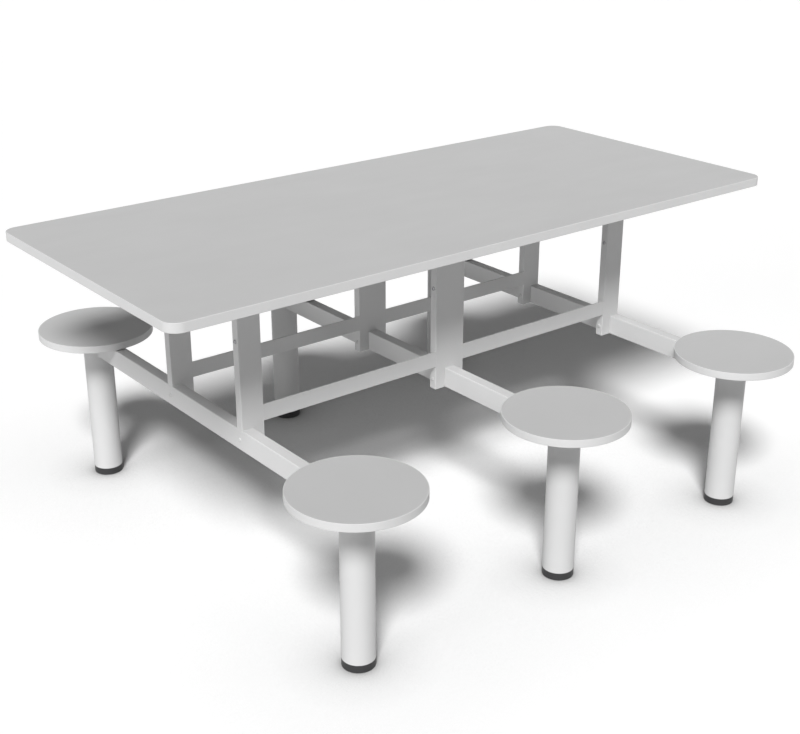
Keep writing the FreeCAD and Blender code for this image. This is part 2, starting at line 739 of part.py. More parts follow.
def export_parts():
    os.makedirs("parts", exist_ok=True)
    for item in sub_parts:
        item.Shape.exportStep(f"parts/{item.Label}.step")


make_top()
make_frames()
make_stations()
make_fasteners()
doc.recompute()
check_document()
export_parts()
print(f"{len(sub_parts)} sub-parts, {sum(len(item.Shape.Solids) for item in sub_parts)} solids")
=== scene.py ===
import math
import bpy
import numpy as np
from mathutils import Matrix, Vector


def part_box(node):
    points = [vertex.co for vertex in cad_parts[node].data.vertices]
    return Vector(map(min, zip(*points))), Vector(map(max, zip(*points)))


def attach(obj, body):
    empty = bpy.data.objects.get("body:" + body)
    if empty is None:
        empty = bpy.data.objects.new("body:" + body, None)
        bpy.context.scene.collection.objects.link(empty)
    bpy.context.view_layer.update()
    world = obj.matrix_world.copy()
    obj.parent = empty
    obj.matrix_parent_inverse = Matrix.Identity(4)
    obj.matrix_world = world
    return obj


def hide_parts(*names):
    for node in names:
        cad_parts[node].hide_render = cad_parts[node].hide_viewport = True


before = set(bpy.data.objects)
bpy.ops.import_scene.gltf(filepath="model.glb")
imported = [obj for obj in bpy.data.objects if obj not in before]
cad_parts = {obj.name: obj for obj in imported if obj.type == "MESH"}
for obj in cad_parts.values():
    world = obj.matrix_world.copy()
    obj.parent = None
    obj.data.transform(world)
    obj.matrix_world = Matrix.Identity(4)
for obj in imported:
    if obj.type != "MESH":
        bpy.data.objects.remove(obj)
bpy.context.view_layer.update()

# A canteen table with six swivel seats. The top and the seats are grey laminate boards with pale edge
# bands, on a powder-coated steel frame with black feet. Metres, X along the table, the front is -Y.

scene = bpy.context.scene
mm = 0.001
almostZero = 1e-9
frames = {"left": -1, "middle": 0, "right": 1}
rows = {"front": -1, "back": 1}
stations = [f"{side}_{row}" for side in frames for row in rows]


# Places read from the frame

# middle of a node seen from above: half the sum of its lowest and highest x and y
def axisOf(node):
    low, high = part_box(node)
    return np.array([(low.x + high.x) / 2, (low.y + high.y) / 2])


# how high a node starts and ends
def heightsOf(node):
    low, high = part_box(node)
    return low.z, high.z


# radius of an upright round node: half its width
def radiusOf(node):
    low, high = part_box(node)
    return (high.x - low.x) / 2


# Meshes

# quads between rings of points: each ring joins the next one, and the last joins the first if closed
def gridFaces(ringCount, pointCount, closed=False):
    ring = np.arange(ringCount if closed else ringCount - 1)[:, None]
    point = np.arange(pointCount)[None, :]
    nextRing = (ring + 1) % ringCount
    nextPoint = (point + 1) % pointCount
    corners = [ring * pointCount + point, ring * pointCount + nextPoint,
               nextRing * pointCount + nextPoint, nextRing * pointCount + point]
    return np.stack(corners, axis=-1).reshape(-1, 4).tolist()


# a grid of rings with one flat face at each end
def cappedFaces(ringCount, pointCount):
    first = list(range(pointCount))[::-1]
    last = list(range((ringCount - 1) * pointCount, ringCount * pointCount))
    return gridFaces(ringCount, pointCount) + [first, last]


# several shells as one mesh: the faces of each count on from the points before it
def joined(shells):
    starts = np.cumsum([0] + [len(points) for points, faces in shells])
    faces = [[corner + start for corner in face]
             for start, (points, shellFaces) in zip(starts.tolist(), shells) for face in shellFaces]
    return np.concatenate([points for points, faces in shells]), faces


# the same shell at each place: every point plus the place
def repeated(points, faces, places):
    return joined([(points + place, faces) for place in places])


# edges that turn more than the sharp angle stay creases, all else is shaded smooth
def addPiece(name, points, faces, slot, body, nodes=(), sharpAngle=40):
    mesh = bpy.data.meshes.new(name)
    mesh.from_pydata(points.tolist(), [], faces)
    mesh.shade_smooth()
    mesh.set_sharp_from_angle(angle=math.radians(sharpAngle))
    mesh.materials.append(materials[slot])
    piece = bpy.data.objects.new(name, mesh)
    scene.collection.objects.link(piece)
    weighted = piece.modifiers.new("flatFacesStayFlat", "WEIGHTED_NORMAL")
    weighted.keep_sharp = True
    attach(piece, body)
    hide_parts(*nodes)
    return piece


# a CAD node's triangles with equal corners made one point, so that curved walls shade smoothly
def weldedNode(node):
    weldStep = 0.0005 * mm
    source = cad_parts[node].data
    source.calc_loop_triangles()
    place = np.zeros(len(source.vertices) * 3)
    source.vertices.foreach_get("co", place)
    corner = np.zeros(len(source.loop_triangles) * 3, dtype=np.int64)
    source.loop_triangles.foreach_get("vertices", corner)
    keys = np.round(place.reshape(-1, 3) / weldStep).astype(np.int64)
    kept, first, index = np.unique(keys, axis=0, return_index=True, return_inverse=True)
    triangles = index.reshape(-1)[corner].reshape(-1, 3)
    whole = (triangles != np.roll(triangles, 1, axis=1)).all(axis=1)
    return place.reshape(-1, 3)[first], triangles[whole]


# the points that some triangles use, numbered afresh
def onlyUsed(points, triangles):
    used, index = np.unique(triangles, return_inverse=True)
    return points[used], index.reshape(-1, 3).tolist()


# a CAD node's welded triangles, shaded smooth up to the sharp angle, in the node's place
def dressNode(node, slot, body, sharpAngle=40):
    points, triangles = weldedNode(node)
    addPiece(f"{node}_dressed", *onlyUsed(points, triangles), slot, body, [node], sharpAngle)


# Outlines and sections

# four quarter circles: corner centre plus radius along the turning direction
def roundedLoop(halfWidth, halfDepth, radius, steps):
    turn = math.pi / 2 * (np.arange(4)[:, None] + np.linspace(0, 1, steps)[None, :])
    direction = np.stack([np.cos(turn), np.sin(turn)], axis=-1)
    corner = np.array([(1, 1), (-1, 1), (-1, -1), (1, -1)]) * (halfWidth - radius, halfDepth - radius)
    points = corner[:, None, :] + radius * direction
    return points.reshape(-1, 2), direction.reshape(-1, 2)


# radius times the turning direction, at even turns
def circleLoop(radius, count):
    turn = np.linspace(0, 2 * math.pi, count, endpoint=False)
    direction = np.stack([np.cos(turn), np.sin(turn)], axis=-1)
    return radius * direction, direction


# a band's section as (out, up): a rectangle with a quarter circle at each corner, anticlockwise from
# its lower outer corner, with out counted from the outer face
def bandSection(thickness, height, outerRound, innerRound, steps):
    radii = np.array([outerRound, outerRound, innerRound, innerRound])[:, None]
    turn = math.pi / 2 * (np.arange(4)[:, None] - 1 + np.linspace(0, 1, steps)[None, :])
    farOut = np.array([0, 0, -thickness, -thickness])[:, None]
    farUp = np.array([0, height, height, 0])[:, None]
    inwards = np.array([-1, -1, 1, 1])[:, None]
    upwards = np.array([1, -1, -1, 1])[:, None]
    out = farOut + inwards * radii + radii * np.cos(turn)
    up = farUp + upwards * radii + radii * np.sin(turn)
    return out.reshape(-1), up.reshape(-1)


# a board's side as (out, up): a small quarter circle at its lower edge and one at its upper edge
def boardSide(thickness, edgeRound, steps):
    turn = np.linspace(0, math.pi / 2, steps)
    out = np.concatenate([np.sin(turn) - 1, np.cos(turn) - 1]) * edgeRound
    up = np.concatenate([(1 - np.cos(turn)) * edgeRound, thickness - (1 - np.sin(turn)) * edgeRound])
    return out, up


# the section carried round the outline: outline plus out times its outward direction, at height up
def sweptRound(loop, direction, out, up):
    flat = loop[None, :, :] + out[:, None, None] * direction[None, :, :]
    high = np.broadcast_to(up[:, None, None], flat.shape[:2] + (1,))
    return np.concatenate([flat, high], axis=-1).reshape(-1, 3)


# Materials

# a shader with its constant values written on its own sockets, and the object's coordinates
def newMaterial(name, sockets):
    material = bpy.data.materials.new(name)
    material.use_nodes = True
    tree = material.node_tree
    shader = tree.nodes["Principled BSDF"]
    for socket, amount in sockets.items():
        shader.inputs[socket].default_value = amount
    coordinates = tree.nodes.new("ShaderNodeTexCoord")
    return tree, shader, coordinates.outputs["Object"], material


# noise whose lumps are about the given size in metres, a small stretch value draws them out on that axis
def noise(tree, place, size, detail=3.0, roughness=0.5, stretch=None):
    if stretch:
        mapping = tree.nodes.new("ShaderNodeMapping")
        mapping.inputs["Scale"].default_value = stretch
        tree.links.new(place, mapping.inputs["Vector"])
        place = mapping.outputs["Vector"]
    texture = tree.nodes.new("ShaderNodeTexNoise")
    texture.inputs["Scale"].default_value = 1 / size
    texture.inputs["Detail"].default_value = detail
    texture.inputs["Roughness"].default_value = roughness
    tree.links.new(place, texture.inputs["Vector"])
    return texture.outputs["Fac"]


# maps a pattern's usual range to two values and doesn't go past them
def spread(tree, source, low, high, fromLow=0.3, fromHigh=0.7):
    node = tree.nodes.new("ShaderNodeMapRange")
    node.inputs["From Min"].default_value = fromLow
    node.inputs["From Max"].default_value = fromHigh
    node.inputs["To Min"].default_value = low
    node.inputs["To Max"].default_value = high
    tree.links.new(source, node.inputs["Value"])
    return node.outputs["Result"]


# one operation on two values, each of them a number or another node's output
def combine(tree, operation, first, second):
    node = tree.nodes.new("ShaderNodeMath")
    node.operation = operation
    for place, source in enumerate((first, second)):
        if isinstance(source, (int, float)):
            node.inputs[place].default_value = source
        else:
            tree.links.new(source, node.inputs[place])
    return node.outputs["Value"]


# the colour times a pattern that stays near one
def shade(tree, colour, factor):
    node = tree.nodes.new("ShaderNodeVectorMath")
    node.operation = "SCALE"
    node.inputs[0].default_value = colour
    tree.links.new(factor, node.inputs["Scale"])
    return node.outputs["Vector"]


# a bump of the given depth in metres, on top of the one below if there is one
def bump(tree, height, depth, below=None):
    node = tree.nodes.new("ShaderNodeBump")
    node.inputs["Distance"].default_value = depth
    tree.links.new(height, node.inputs["Height"])
    if below:
        tree.links.new(below, node.inputs["Normal"])
    return node.outputs["Normal"]


# colour and roughness from one pattern: the colour times one give or take the tone
def coat(tree, shader, look, pattern):
    tone = spread(tree, pattern, 1 - look["tone"], 1 + look["tone"])
    tree.links.new(shade(tree, look["colour"], tone), shader.inputs["Base Color"])
    tree.links.new(spread(tree, pattern, *look["rough"]), shader.inputs["Roughness"])


laminateLook = {"colour": (0.51, 0.51, 0.51), "tone": 0.015, "patch": 0.22, "fleck": 1.4 * mm,
                "grain": 0.5 * mm, "grainDepth": 0.012 * mm, "rough": (0.44, 0.54), "streak": 0.05,
                "streakStretch": (0.25, 1.0, 1.0), "sockets": {"IOR": 1.45, "Specular IOR Level": 0.15}}


# slow patches times faint flecks, gloss in long wiping streaks, and a fine suede grain over all
def makeLaminate():
    look = laminateLook
    tree, shader, place, material = newMaterial("grey_laminate", look["sockets"])
    patches = spread(tree, noise(tree, place, look["patch"]), 1 - look["tone"], 1 + look["tone"])
    flecks = spread(tree, noise(tree, place, look["fleck"], detail=2), 1 - look["tone"], 1 + look["tone"])
    tone = combine(tree, "MULTIPLY", patches, flecks)
    streaks = noise(tree, place, look["streak"], detail=4, roughness=0.6, stretch=look["streakStretch"])
    tree.links.new(shade(tree, look["colour"], tone), shader.inputs["Base Color"])
    tree.links.new(spread(tree, streaks, *look["rough"]), shader.inputs["Roughness"])
    grain = noise(tree, place, look["grain"], detail=2)
    tree.links.new(bump(tree, grain, look["grainDepth"]), shader.inputs["Normal"])
    return material


edgingLook = {"colour": (0.61, 0.61, 0.61), "tone": 0.015, "patch": 0.09, "grain": 0.7 * mm,
              "grainDepth": 0.01 * mm, "rough": (0.38, 0.48), "line": 0.25 * mm, "lineDepth": 0.008 * mm,
              "lineStretch": (0.01, 0.01, 1.0), "sockets": {"IOR": 1.5, "Specular IOR Level": 0.15}}


# plastic edge band: slow patches, a fine grain, and faint lines along it from its extrusion
def makeEdging():
    look = edgingLook
    tree, shader, place, material = newMaterial("edge_band", look["sockets"])
    coat(tree, shader, look, noise(tree, place, look["patch"]))
    lines = noise(tree, place, look["line"], detail=1, stretch=look["lineStretch"])
    grain = noise(tree, place, look["grain"])
    lined = bump(tree, lines, look["lineDepth"])
    tree.links.new(bump(tree, grain, look["grainDepth"], lined), shader.inputs["Normal"])
    return material


paintLook = {"colour": (0.61, 0.61, 0.61), "tone": 0.012, "patch": 0.15, "peel": 1.8 * mm,
             "peelDepth": 0.035 * mm, "grit": 0.35 * mm, "gritDepth": 0.006 * mm, "rough": (0.46, 0.56),
             "sockets": {"IOR": 1.5, "Specular IOR Level": 0.15}}


# powder coat: an orange peel of soft lumps under a much finer grit, with slow patches of tone
def makePaint():
    look = paintLook
    tree, shader, place, material = newMaterial("powder_coat", look["sockets"])
    coat(tree, shader, look, noise(tree, place, look["patch"]))
    peel = bump(tree, noise(tree, place, look["peel"], detail=1), look["peelDepth"])
    grit = bump(tree, noise(tree, place, look["grit"], detail=1), look["gritDepth"], peel)
    tree.links.new(grit, shader.inputs["Normal"])
    return material


footLook = {"colour": (0.042, 0.042, 0.043), "scuffGain": 1.7, "scuff": 2.5 * mm, "scuffTop": 7 * mm,
            "grain": 0.45 * mm, "grainDepth": 0.03 * mm, "rough": (0.42, 0.62),
            "sockets": {"IOR": 1.5, "Specular IOR Level": 0.2}}


# black moulded plastic with an eroded grain, and pale scuffs that fade out above the floor
def makeFootPlastic():
    look = footLook
    tree, shader, place, material = newMaterial("black_plastic", look["sockets"])
    split = tree.nodes.new("ShaderNodeSeparateXYZ")
    tree.links.new(place, split.inputs["Vector"])
    nearFloor = spread(tree, split.outputs["Z"], 1, 0, fromLow=0, fromHigh=look["scuffTop"])
    marks = noise(tree, place, look["scuff"], detail=5, roughness=0.65)
    scuffs = spread(tree, marks, 0, 1, fromLow=0.5, fromHigh=0.7)
    worn = combine(tree, "MULTIPLY", nearFloor, scuffs)
    gain = spread(tree, worn, 1, look["scuffGain"], fromLow=0, fromHigh=1)
    tree.links.new(shade(tree, look["colour"], gain), shader.inputs["Base Color"])
    tree.links.new(spread(tree, worn, *look["rough"], fromLow=0, fromHigh=1), shader.inputs["Roughness"])
    grain = noise(tree, place, look["grain"], detail=2)
    tree.links.new(bump(tree, grain, look["grainDepth"]), shader.inputs["Normal"])
    return material


nylonLook = {"colour": (0.72, 0.70, 0.64), "tone": 0.03, "patch": 12 * mm, "grain": 0.6 * mm,
             "grainDepth": 0.01 * mm, "rough": (0.40, 0.50),
             "sockets": {"IOR": 1.53, "Subsurface Weight": 0.15, "Subsurface Scale": 1.5 * mm}}


# natural nylon: warm off-white, a little light passes into it
def makeNylon():
    look = nylonLook
    tree, shader, place, material = newMaterial("natural_nylon", look["sockets"])
    coat(tree, shader, look, noise(tree, place, look["patch"]))
    grain = noise(tree, place, look["grain"])
    tree.links.new(bump(tree, grain, look["grainDepth"]), shader.inputs["Normal"])
    return material


zincLook = {"colour": (0.36, 0.36, 0.37), "tone": 0.12, "patch": 2.5 * mm, "rough": (0.28, 0.42),
            "mark": 0.3 * mm, "markDepth": 0.006 * mm, "markStretch": (1.0, 1.0, 0.1),
            "sockets": {"Metallic": 1.0}}


# zinc plate: metal with cloudy passivation in its colour and gloss, and fine marks from the machine
def makeZinc():
    look = zincLook
    tree, shader, place, material = newMaterial("zinc_plate", look["sockets"])
    coat(tree, shader, look, noise(tree, place, look["patch"], detail=4, roughness=0.6))
    marks = noise(tree, place, look["mark"], detail=2, stretch=look["markStretch"])
    tree.links.new(bump(tree, marks, look["markDepth"]), shader.inputs["Normal"])
    return material


materials = {"laminate": makeLaminate(), "edging": makeEdging(), "frame_paint": makePaint(),
             "foot_plastic": makeFootPlastic(), "nylon": makeNylon(), "zinc_steel": makeZinc()}
print("materials ready:", len(materials))


# Boards with edge bands: the table top and the seats

boardLook = {"edging": 2 * mm, "bandRound": 1.0 * mm, "gluelineRound": 0.25 * mm, "roundSteps": 7,
             "sideSteps": 4, "cornerRadius": 35 * mm, "cornerSteps": 24, "seatSteps": 160}


# a board lofted through its side, and its band's section carried round the same outline
def makeBandedBoard(loop, direction, base, top, names, body, nodes):
    look = boardLook
    out, up = boardSide(top - base, look["gluelineRound"], look["sideSteps"])
    board = sweptRound(loop - look["edging"] * direction, direction, out, base + up)
    addPiece(names[0], board, cappedFaces(len(out), len(loop)), "laminate", body, [nodes[0]])
    out, up = bandSection(look["edging"], top - base, look["bandRound"], look["gluelineRound"],
                          look["roundSteps"])
    band = sweptRound(loop, direction, out, base + up)
    addPiece(names[1], band, gridFaces(len(out), len(loop), closed=True), "edging", body, [nodes[1]])


# the top's outline is as large as its band, with four round corners
def makeTop():
    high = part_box("top_edge_band")[1]
    loop, direction = roundedLoop(high.x, high.y, boardLook["cornerRadius"], boardLook["cornerSteps"])
    makeBandedBoard(loop, direction, *heightsOf("top_edge_band"), ("top_board", "top_band"),
                    "table_frame", ("table_top", "top_edge_band"))


# a seat's outline is a circle round its own axis
def makeSeat(station):
    band = f"seat_edge_band_{station}"
    loop, direction = circleLoop(radiusOf(band), boardLook["seatSteps"])
    makeBandedBoard(loop + axisOf(band), direction, *heightsOf(band),
                    (f"seat_top_{station}", f"seat_band_{station}"), f"seat_{station}",
                    (f"seat_board_{station}", band))


makeTop()
for station in stations:
    makeSeat(station)
    dressNode(f"seat_spindle_{station}", "zinc_steel", f"seat_{station}")
print("table top and seats ready")


# Pedestals and feet

pedestalLook = {"wall": 3 * mm, "edgeRound": 0.5 * mm, "roundSteps": 4, "around": 96}
footShape = {"plugWall": 3 * mm, "plugGap": 0.2 * mm, "plugDepth": 25 * mm, "floorRound": 1.5 * mm,
             "seamRound": 0.6 * mm, "roundSteps": 6}


# a round tube: its wall's section, a long thin rounded rectangle, carried round the axis
def makePedestal(station):
    look = pedestalLook
    node = f"pedestal_{station}"
    base, top = heightsOf(node)
    loop, direction = circleLoop(radiusOf(node), look["around"])
    out, up = bandSection(look["wall"], top - base, look["edgeRound"], look["edgeRound"], look["roundSteps"])
    tube = sweptRound(loop + axisOf(node), direction, out, base + up)
    addPiece(f"pedestal_tube_{station}", tube, gridFaces(len(out), len(loop), closed=True), "frame_paint",
             "table_frame", [node])


# a turned foot: floor, rounded lower edge, side, rounded seam under the tube, then the hollow plug
def makeFoot(station):
    look = footShape
    node = f"foot_{station}"
    radius = radiusOf(node)
    seam = heightsOf(f"pedestal_{station}")[0]
    plug = radius - pedestalLook["wall"] - look["plugGap"]
    plugTop = seam + look["plugDepth"]
    plugInside = plug - look["plugWall"]
    turn = np.linspace(0, math.pi / 2, look["roundSteps"])
    lowerOut = radius - look["floorRound"] * (1 - np.sin(turn))
    lowerUp = look["floorRound"] * (1 - np.cos(turn))
    upperOut = radius - look["seamRound"] * (1 - np.cos(turn))
    upperUp = seam - look["seamRound"] * (1 - np.sin(turn))
    out = np.concatenate([lowerOut, upperOut, [plug, plug, plugInside, plugInside]])
    up = np.concatenate([lowerUp, upperUp, [seam, plugTop, plugTop, seam - look["plugWall"]]])
    direction = circleLoop(1, pedestalLook["around"])[1]
    axis = np.broadcast_to(axisOf(node), direction.shape)
    addPiece(f"foot_moulding_{station}", sweptRound(axis, direction, out, up),
             cappedFaces(len(out), len(direction)), "foot_plastic", "table_frame", [node])


for station in stations:
    makePedestal(station)
    makeFoot(station)
    dressNode(f"bearing_insert_{station}", "nylon", "table_frame")
print("pedestals and feet ready")


# Tube frame

for side in frames:
    dressNode(f"crossbeam_{side}", "frame_paint", "table_frame")
    dressNode(f"bearer_{side}", "frame_paint", "table_frame")
    for row in rows:
        dressNode(f"upright_{side}_{row}", "frame_paint", "table_frame")
        if frames[side]:
            dressNode(f"rail_{side}_{row}", "frame_paint", "table_frame")
print("frame ready")


# Welds under the paint

weldLook = {"leg": 2.4 * mm, "bulge": 0.22, "sunk": 0.5 * mm, "ripple": 0.07, "ripplePitch": 1.3 * mm,
            "endShare": 0.02, "step": 0.35 * mm, "across": 7, "beamCorner": 2 * mm, "cornerSteps": 6,
            "railCorner": 0.5 * mm, "railLeg": 1.8 * mm, "flushHalf": 2.3 * mm, "flushHeight": 0.3 * mm,
            "flushSunk": 0.02 * mm, "flushSteps": 60}


# points at even steps along a line of straight runs
def evenSteps(corners, step):
    lengths = np.linalg.norm(np.diff(corners, axis=0), axis=1)
    along = np.concatenate([[0], np.cumsum(lengths)])
    wanted = np.linspace(0, along[-1], int(along[-1] / step))
    return np.stack([np.interp(wanted, along, column) for column in corners.T], axis=-1)


# each vector divided by its length
def unit(vectors):
    return vectors / np.linalg.norm(vectors, axis=-1, keepdims=True)


# size of a bead along its line: scallops one pitch long, and a round fade at both ends
def beadSizes(line, leg):
    look = weldLook
    along = np.concatenate([[0], np.cumsum(np.linalg.norm(np.diff(line, axis=0), axis=1))])
    fromEnd = np.minimum(along, along[-1] - along) / leg
    fade = np.sqrt(np.clip(1 - (1 - np.clip(fromEnd, 0, 1)) ** 2, look["endShare"], 1))
    scallop = 1 + look["ripple"] * np.abs(np.sin(math.pi * along / look["ripplePitch"]))
    return leg * fade * scallop


# a fillet bead in the corner of a bar and a wall. At each point of the line its section fans from the
# bar's side, going away from the wall, to the wall, going away from the bar. It is sunk into both.
def filletBead(line, barNormal, wallNormal, leg):
    look = weldLook
    cosine = np.sum(barNormal * wallNormal, axis=1, keepdims=True)
    alongBar = unit(wallNormal - cosine * barNormal)
    alongWall = unit(barNormal - cosine * wallNormal)
    turn = np.linspace(0, math.pi / 2, look["across"])[:, None]
    reach = 1 - look["bulge"] * np.sin(2 * turn)
    fan = reach[None] * (np.cos(turn)[None] * alongBar[:, None] + np.sin(turn)[None] * alongWall[:, None])
    bead = line[:, None] + beadSizes(line, leg)[:, None, None] * fan
    root = (line - look["sunk"] * (alongBar + alongWall))[:, None]
    points = np.concatenate([bead, root], axis=1)
    faces = cappedFaces(len(line), look["across"] + 1)
    forward = np.sum(np.cross(alongBar, alongWall) * np.gradient(line, axis=0))
    if forward < 0:
        faces = [face[::-1] for face in faces]
    return points.reshape(-1, 3), faces


# down one side of the beam, along its bottom and up the other side, where it meets the round pedestal:
# y is the pedestal's axis less the other leg of the triangle on x
def pedestalBead(side, row):
    look = weldLook
    centre = axisOf(f"pedestal_{side}_{row}")
    radius = radiusOf(f"pedestal_{side}_{row}")
    low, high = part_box(f"crossbeam_{side}")
    half = (high.x - low.x) / 2
    corner = look["beamCorner"]
    turn = np.linspace(0, math.pi / 2, look["cornerSteps"])
    cornerX = half - corner + corner * np.cos(turn)
    cornerZ = low.z + corner - corner * np.sin(turn)
    outline = np.concatenate([[[half, high.z - corner]], np.stack([cornerX, cornerZ], axis=-1),
                              np.stack([-cornerX, cornerZ], axis=-1)[::-1], [[-half, high.z - corner]]])
    outline = evenSteps(outline, look["step"])
    x, z = outline[:, 0], outline[:, 1]
    beamNormal = np.zeros((len(x), 3))
    beamNormal[:, 0] = np.clip((x - np.clip(x, corner - half, half - corner)) / corner, -1, 1)
    beamNormal[:, 2] = np.clip((z - np.maximum(z, low.z + corner)) / corner, -1, 1)
    toMiddle = -rows[row]
    reach = np.sqrt(radius ** 2 - x ** 2)
    wallNormal = np.stack([x, toMiddle * reach, np.zeros(len(x))], axis=-1) / radius
    line = np.stack([centre[0] + x, centre[1] + toMiddle * reach, z], axis=-1)
    return filletBead(line, unit(beamNormal), wallNormal, look["leg"])


# round the back of a rail's end: along its top edge, down its back and along its bottom edge
def railBead(side, row, wallX, away):
    look = weldLook
    low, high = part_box(f"rail_{side}_{row}")
    corner = look["railCorner"]
    inset = look["railLeg"]
    path = evenSteps(np.array([(low.y + inset, high.z), (high.y - corner, high.z), (high.y, high.z - corner),
                               (high.y, low.z + corner), (high.y - corner, low.z), (low.y + inset, low.z)]),
                     look["step"])
    y, z = path[:, 0], path[:, 1]
    barNormal = np.zeros((len(y), 3))
    barNormal[:, 1] = np.clip((y - high.y + corner) / corner, 0, 1)
    barNormal[:, 2] = np.clip((z - np.clip(z, low.z + corner, high.z - corner)) / corner, -1, 1)
    wallNormal = np.broadcast_to([away, 0.0, 0.0], (len(y), 3))
    line = np.stack([np.full(len(y), wallX), y, z], axis=-1)
    return filletBead(line, unit(barNormal), wallNormal, look["railLeg"])


# a bead ground almost level with the front: a low arch across the rounded corner, carried up the joint
def flushBead(side, row, wallX):
    look = weldLook
    low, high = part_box(f"rail_{side}_{row}")
    up = np.linspace(low.z + look["railCorner"], high.z - look["railCorner"], look["flushSteps"])
    across = np.linspace(-1, 1, look["across"])
    out = look["flushHeight"] * (1 - across ** 2) - look["flushSunk"]
    sectionX = np.concatenate([across * look["flushHalf"], [0]])
    sectionY = np.concatenate([low.y - out, [low.y + look["railLeg"]]])
    shape = (len(up), len(sectionX))
    points = np.stack([np.broadcast_to(wallX + sectionX, shape), np.broadcast_to(sectionY, shape),
                       np.broadcast_to(up[:, None], shape)], axis=-1)
    return points.reshape(-1, 3), cappedFaces(*shape)


# a bead at both ends of each beam, and at each rail's end one round its back and one up its front
def makeWelds():
    pedestalBeads = [pedestalBead(side, row) for side in frames for row in rows]
    addPiece("pedestal_welds", *joined(pedestalBeads), "frame_paint", "table_frame")
    railBeads = []
    for side in ("left", "right"):
        for row in rows:
            low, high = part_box(f"rail_{side}_{row}")
            for wallX, away in ((low.x, 1.0), (high.x, -1.0)):
                railBeads.append(railBead(side, row, wallX, away))
                railBeads.append(flushBead(side, row, wallX))
    addPiece("rail_welds", *joined(railBeads), "frame_paint", "table_frame")


makeWelds()
print("welds ready")


# Fasteners

screwLook = {"arm": 2.5 * mm, "slot": 0.55 * mm, "taper": 0.6, "crossDepth": 1.5 * mm,
             "turnSteps": (3, 4, 4, 3), "sharpAngle": 30}
topScrewLook = {"headRadius": 5 * mm, "shankRadius": 2.3 * mm, "innerReach": 60 * mm, "rimHeight": 0.3,
                "flat": 2.9 * mm, "domeSteps": 7}
seatScrewLook = {"headRadius": 4.55 * mm, "shankRadius": 1.84 * mm, "shank": 15 * mm, "rim": 0.1 * mm,
                 "plate": 3 * mm, "inset": 15 * mm, "sunk": 0.1 * mm, "count": 4}
boltLook = {"paintedBelow": 0.5, "sharpAngle": 30}


# directions round a screw, with the corners of its cross among them
def crossTurns():
    corner = math.atan(screwLook["slot"] / screwLook["arm"])
    stops = [0, corner, math.pi / 4, math.pi / 2 - corner, math.pi / 2]
    quarter = np.concatenate([np.linspace(start, end, count, endpoint=False)
                              for start, end, count in zip(stops, stops[1:], screwLook["turnSteps"])])
    return (np.arange(4)[:, None] * math.pi / 2 + quarter[None, :]).reshape(-1)


# how far a plus shape reaches in each direction: the further of its two bars, each cut by its sides
def crossReach(turn, arm, slot):
    cosine = np.maximum(np.abs(np.cos(turn)), almostZero)
    sine = np.maximum(np.abs(np.sin(turn)), almostZero)
    return np.maximum(np.minimum(arm / cosine, slot / sine), np.minimum(slot / cosine, arm / sine))


# a screw that points up: turned rings of (reach, height), then the cross at its rim and at its bottom
def crossScrew(rings, face):
    look = screwLook
    turn = crossTurns()
    rim = crossReach(turn, look["arm"], look["slot"])
    floor = crossReach(turn, look["arm"] * look["taper"], look["slot"] * look["taper"])
    reach = np.stack([np.full(len(turn), ring[0]) for ring in rings] + [rim, floor])
    up = np.array([ring[1] for ring in rings] + [face, face + look["crossDepth"]])
    high = np.broadcast_to(up[:, None], reach.shape)
    points = np.stack([reach * np.cos(turn), reach * np.sin(turn), high], axis=-1)
    faces = [corners[::-1] for corners in cappedFaces(len(up), len(turn))]
    return points.reshape(-1, 3), faces


# pan heads under the bearers: shank, flat seat, then a quarter ellipse down to a small flat
def makeTopScrews():
    look = topScrewLook
    head = look["headRadius"]
    shank = look["shankRadius"]
    low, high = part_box("top_screws")
    seat = heightsOf("upright_middle_front")[1]
    turn = np.linspace(0, math.pi / 2, look["domeSteps"])
    domeReach = look["flat"] + (head - look["flat"]) * np.cos(turn)
    domeUp = seat - (seat - low.z) * (look["rimHeight"] + (1 - look["rimHeight"]) * np.sin(turn))
    rings = [(shank, high.z), (shank, seat), (head, seat), *zip(domeReach.tolist(), domeUp.tolist())]
    places = np.array([(axisOf(f"bearer_{side}")[0], way * reach, 0) for side in frames
                       for reach in (high.y - head, look["innerReach"]) for way in (1, -1)])
    addPiece("top_pan_screws", *repeated(*crossScrew(rings, low.z), places), "zinc_steel", "table_frame",
             ["top_screws"], screwLook["sharpAngle"])


# countersunk heads level with the underside of the turning plate
def makeSeatScrews(station):
    look = seatScrewLook
    node = f"seat_spindle_{station}"
    radius = radiusOf(node)
    face = heightsOf(f"seat_edge_band_{station}")[0] - look["plate"] + look["sunk"]
    head = look["headRadius"]
    shank = look["shankRadius"]
    rings = [(shank, face + look["shank"]), (shank, face + head - shank), (head, face + look["rim"]),
             (head, face)]
    turn = np.linspace(0, 2 * math.pi, look["count"], endpoint=False)
    reach = radius - look["inset"]
    places = np.stack([reach * np.cos(turn), reach * np.sin(turn), np.zeros(look["count"])], axis=-1)
    places[:, :2] += axisOf(node)
    addPiece(f"seat_screws_{station}", *repeated(*crossScrew(rings, face), places), "zinc_steel",
             f"seat_{station}", (), screwLook["sharpAngle"])


# the lower bolts are painted with the frame, the upper ones are bare: parted by their triangles' height
def makeBolts(node):
    look = boltLook
    points, triangles = weldedNode(node)
    low = points[triangles].mean(axis=1)[:, 2] < look["paintedBelow"]
    addPiece(f"{node}_upper", *onlyUsed(points, triangles[~low]), "zinc_steel", "table_frame", [node],
             look["sharpAngle"])
    addPiece(f"{node}_lower", *onlyUsed(points, triangles[low]), "frame_paint", "table_frame", (),
             look["sharpAngle"])


for node in ("frame_bolts", "end_sleeve_nuts", "middle_sleeve_nuts"):
    makeBolts(node)
makeTopScrews()
for station in stations:
    makeSeatScrews(station)
print("fasteners ready")


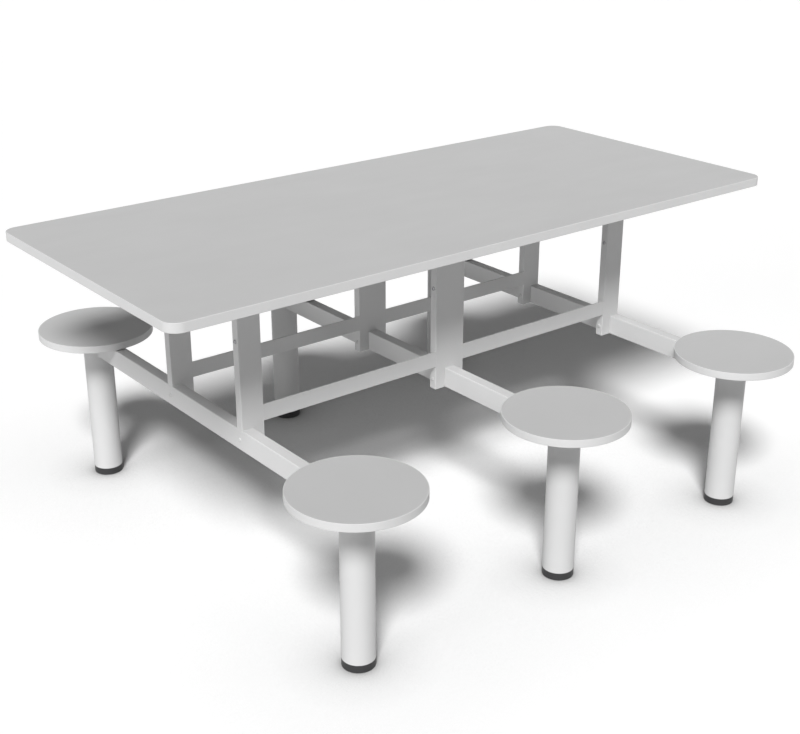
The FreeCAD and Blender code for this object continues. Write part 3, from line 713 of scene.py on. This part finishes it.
# Floor, light and camera

stageLook = {"floorHalf": 40.0, "floorWhite": 1.05, "floorBounce": 0.56, "paintedContactShade": {0.6: 0.7, 0.15: 0.7},
             "paintedShadeSamples": 4, "skyStrength": 0.075,
             "sockets": {"Roughness": 1.0, "Specular IOR Level": 0.0}}
lightLook = {"key": {"strength": 3.58, "comesFrom": (-0.646, -0.694, 1.0), "angle": 16.0},
             "sideFill": {"strength": 0.97, "comesFrom": (-1.0, 0.0, 0.1), "angle": 24.0},
             "frontFill": {"strength": 0.22, "comesFrom": (0.4, -0.92, 0.1), "angle": 24.0},
             "rightFill": {"strength": 0.33, "comesFrom": (0.9, -0.5, 0.15), "angle": 40.0}}


# one for what the camera sees, also in a reflection or through glass
def seenWhite(tree):
    path = tree.nodes.new("ShaderNodeLightPath")
    straight = combine(tree, "MAXIMUM", path.outputs["Is Camera Ray"], path.outputs["Is Glossy Ray"])
    return combine(tree, "MAXIMUM", straight, path.outputs["Is Transmission Ray"])


# a white floor with painted shade close to the object: white times the share of open sky within each reach,
# to its power. What the camera doesn't see is darker, so that it lights the object less.
def makeFloor():
    look = stageLook
    half = look["floorHalf"]
    mesh = bpy.data.meshes.new("floor")
    corners = [(-half, -half, 0), (half, -half, 0), (half, half, 0), (-half, half, 0)]
    mesh.from_pydata(corners, [], [(0, 1, 2, 3)])
    floor = bpy.data.objects.new("floor", mesh)
    scene.collection.objects.link(floor)
    tree, shader, place, material = newMaterial("floor_white", look["sockets"])
    white = look["floorWhite"]
    # painted contact shade: the floor's white is darkened where nearby parts close off the sky
    for reach, power in look["paintedContactShade"].items():
        openSky = tree.nodes.new("ShaderNodeAmbientOcclusion")
        openSky.inputs["Distance"].default_value = reach
        openSky.samples = look["paintedShadeSamples"]
        white = combine(tree, "MULTIPLY", combine(tree, "POWER", openSky.outputs["AO"], power), white)
    seen = seenWhite(tree)
    unseen = combine(tree, "MULTIPLY", combine(tree, "SUBTRACT", 1, seen), look["floorBounce"])
    level = combine(tree, "ADD", combine(tree, "MULTIPLY", seen, white), unseen)
    tree.links.new(shade(tree, (1, 1, 1), level), shader.inputs["Base Color"])
    mesh.materials.append(material)


# an even white sky, at full white for the camera and for reflections
def makeSky():
    world = bpy.data.worlds.new("sky")
    scene.world = world
    world.use_nodes = True
    tree = world.node_tree
    background = tree.nodes["Background"]
    background.inputs["Color"].default_value = (1, 1, 1, 1)
    strength = combine(tree, "MAXIMUM", seenWhite(tree), stageLook["skyStrength"])
    tree.links.new(strength, background.inputs["Strength"])


# a sun that shines from a direction, and the wider its angle, the softer its shadows
def addSun(name, strength, comesFrom, angle):
    lamp = bpy.data.lights.new(name, "SUN")
    lamp.energy = strength
    lamp.angle = math.radians(angle)
    sun = bpy.data.objects.new(name, lamp)
    sun.rotation_euler = Vector(comesFrom).to_track_quat("Z", "Y").to_euler()
    scene.collection.objects.link(sun)


cameraLook = {"place": (-2.0278, -2.5414, 1.7148), "heading": 38.253, "fall": 22.827, "lens": 60.10,
              "sensor": 36.0}


# the heading turns the view to the right from +Y, the fall tips it down from level
def makeCamera():
    look = cameraLook
    lens = bpy.data.cameras.new("camera")
    lens.sensor_fit = "HORIZONTAL"
    lens.sensor_width = look["sensor"]
    lens.lens = look["lens"]
    camera = bpy.data.objects.new("camera", lens)
    camera.location = look["place"]
    camera.rotation_euler = (math.radians(90 - look["fall"]), 0, math.radians(-look["heading"]))
    scene.collection.objects.link(camera)
    scene.camera = camera


makeFloor()
makeSky()
for name, look in lightLook.items():
    addSun(name, **look)
makeCamera()
scene.view_settings.view_transform = "Standard"
print("floor, light and camera ready")
